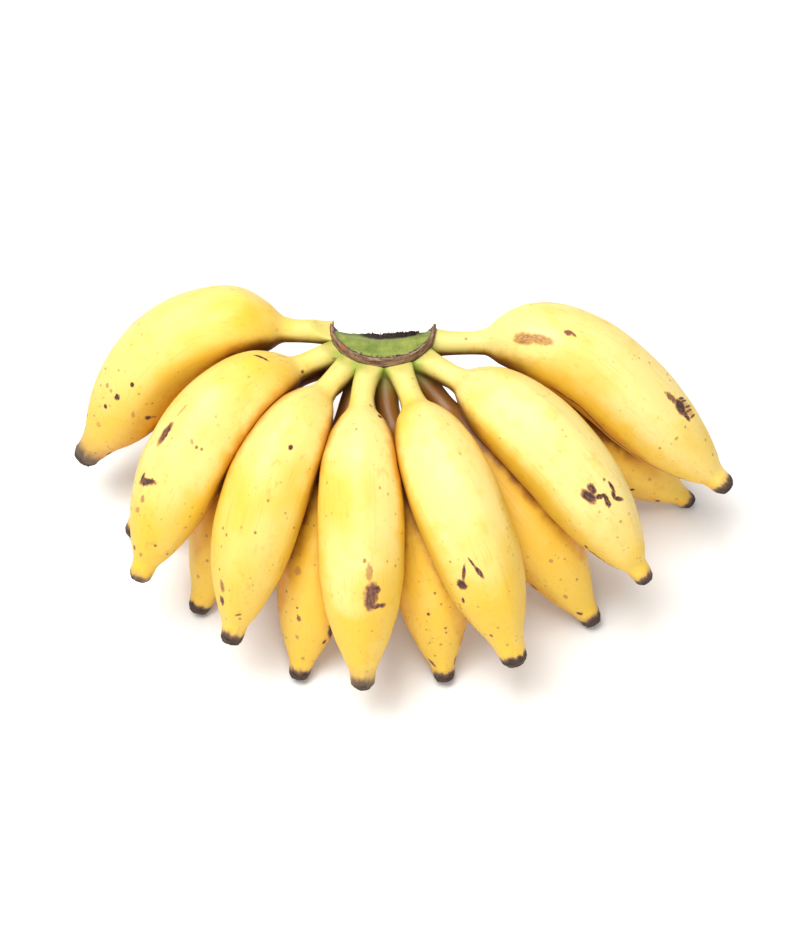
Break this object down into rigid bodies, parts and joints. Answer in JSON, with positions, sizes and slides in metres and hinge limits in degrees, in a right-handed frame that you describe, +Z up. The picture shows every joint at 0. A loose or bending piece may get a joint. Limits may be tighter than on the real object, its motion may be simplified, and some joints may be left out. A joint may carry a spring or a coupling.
{
  "type": "hand of bananas",
  "caption": "Hand of small plump ripe bananas fanned in two rows round a cut half-moon crown, lying on its lower tips.",
  "frame": {"origin": "on the surface that the hand lies on, under the middle of its bounding box", "axes": "+X runs along the widest spread of the fan, the fruit points to -Y with the crown's cut face towards +Y, +Z is up"},
  "size_m": [0.2671, 0.1497, 0.0978],
  "materials": {
    "peel": "waxy satin ripe peel with brown spots and dark dry tips",
    "stem": "cut green stem tissue with a browned rim"
  },
  "bodies": {
    "root": {"crown": "stem", "upper_banana_1": "peel", "upper_banana_2": "peel", "upper_banana_3": "peel", "upper_banana_4": "peel", "upper_banana_5": "peel", "upper_banana_6": "peel", "upper_banana_7": "peel", "lower_banana_1": "peel", "lower_banana_2": "peel", "lower_banana_3": "peel", "lower_banana_4": "peel", "lower_banana_5": "peel", "lower_banana_6": "peel"}
  },
  "joints": []
}
